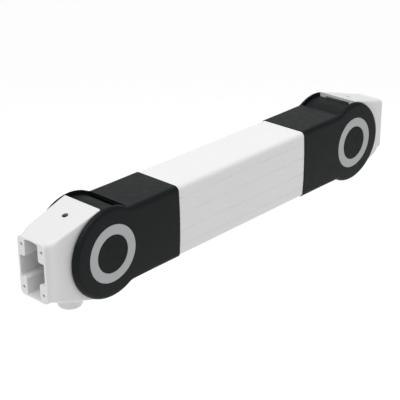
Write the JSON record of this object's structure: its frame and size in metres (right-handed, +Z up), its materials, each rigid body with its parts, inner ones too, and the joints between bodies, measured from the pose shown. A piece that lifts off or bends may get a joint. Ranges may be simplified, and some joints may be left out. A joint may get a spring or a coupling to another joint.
{
  "type": "support arm",
  "caption": "Height-adjustable parallelogram support arm: a white box beam between black forked joints, with a flanged head at each end that stays level as the beam tilts.",
  "frame": {"origin": "centre of the rear head's mounting face", "axes": "+X along the beam from the rear head to the front head, +Z up, +Y to the left"},
  "size_m": [0.62, 0.075, 0.119],
  "materials": {
    "white_coat": "white powder coat, satin, over cast and extruded aluminium",
    "black_coat": "black fine-texture powder coat over cast aluminium",
    "black_plastic": "black moulded plastic, fine matt grain",
    "grey_ring": "light grey moulded plastic, satin",
    "bronze": "sintered bronze",
    "dark_steel": "black oxide",
    "zinc_steel": "zinc plated",
    "spring_steel": "oil-tempered spring wire",
    "bright_steel": "ground steel"
  },
  "bodies": {
    "rear_head": {"rear_head": "white_coat", "rear_drum_cover": "black_plastic", "rear_bush_near": "bronze", "rear_bush_far": "bronze", "rear_guide_pin": "bright_steel", "rear_boss_plug": "black_plastic", "rear_cover_screw_near": "dark_steel", "rear_cover_screw_far": "dark_steel", "spindle_bearing": "bronze"},
    "beam": {"beam_tube": "white_coat", "rear_fork": "black_coat", "rear_pivot_shaft": "bright_steel", "rear_ring_near": "grey_ring", "rear_ring_far": "grey_ring", "rear_cap_near": "black_plastic", "rear_cap_far": "black_plastic", "rear_tube_screw_near": "dark_steel", "rear_tube_screw_far": "dark_steel", "front_fork": "black_coat", "front_pivot_shaft": "bright_steel", "front_ring_near": "grey_ring", "front_ring_far": "grey_ring", "front_cap_near": "black_plastic", "front_cap_far": "black_plastic", "front_tube_screw_near": "dark_steel", "front_tube_screw_far": "dark_steel", "spring_seat": "grey_ring", "main_spring": "spring_steel"},
    "front_head": {"front_head": "white_coat", "front_drum_cover": "black_plastic", "front_bush_near": "bronze", "front_bush_far": "bronze", "front_guide_pin": "bright_steel", "front_boss_plug": "black_plastic", "front_cover_screw_near": "dark_steel", "front_cover_screw_far": "dark_steel"},
    "guide_rod": {"guide_rod": "bright_steel", "guide_rod_end_rear": "zinc_steel", "guide_rod_end_front": "zinc_steel", "guide_rod_nut_rear": "bright_steel", "guide_rod_nut_front": "bright_steel"},
    "load_spindle": {"load_spindle": "dark_steel"},
    "carriage": {"carriage": "zinc_steel", "carriage_pin": "bright_steel"},
    "pull_rod": {"pull_rod": "bright_steel", "pull_rod_eye": "zinc_steel", "spring_plate": "grey_ring", "spring_nut": "grey_ring"}
  },
  "joints": [
    {"name": "lift", "type": "hinge", "parent": "rear_head", "child": "beam", "pos_m": [0.085, 0, 0], "axis": [0, -1, 0], "range_deg": [-40, 40], "deforming": ["main_spring"]},
    {"name": "front_level", "type": "hinge", "parent": "beam", "child": "front_head", "pos_m": [0.535, 0, 0], "axis": [0, -1, 0], "range_deg": [-40, 40]},
    {"name": "guide_swing", "type": "hinge", "parent": "rear_head", "child": "guide_rod", "pos_m": [0.085, 0, -0.024], "axis": [0, -1, 0], "range_deg": [-40, 40]},
    {"name": "load_screw", "type": "hinge", "parent": "rear_head", "child": "load_spindle", "pos_m": [0.0503, 0, 0], "axis": [0, 0, 1], "range_deg": [-720.5, 720.5]},
    {"name": "carriage_slide", "type": "slide", "parent": "rear_head", "child": "carriage", "axis": [0, 0, 1], "range_m": [-0.002, 0.002]},
    {"name": "pull_swing", "type": "hinge", "parent": "carriage", "child": "pull_rod", "pos_m": [0.085, 0, 0.0155], "axis": [0, -1, 0], "range_deg": [-40, 40]}
  ],
  "couplings": [
    {"joint": "front_level", "follows": "lift", "ratio": -1},
    {"joint": "guide_swing", "follows": "lift", "ratio": 1},
    {"joint": "pull_swing", "follows": "lift", "ratio": 1},
    {"joint": "load_screw", "follows": "carriage_slide", "rad_per_m": -6283.2}
  ]
}
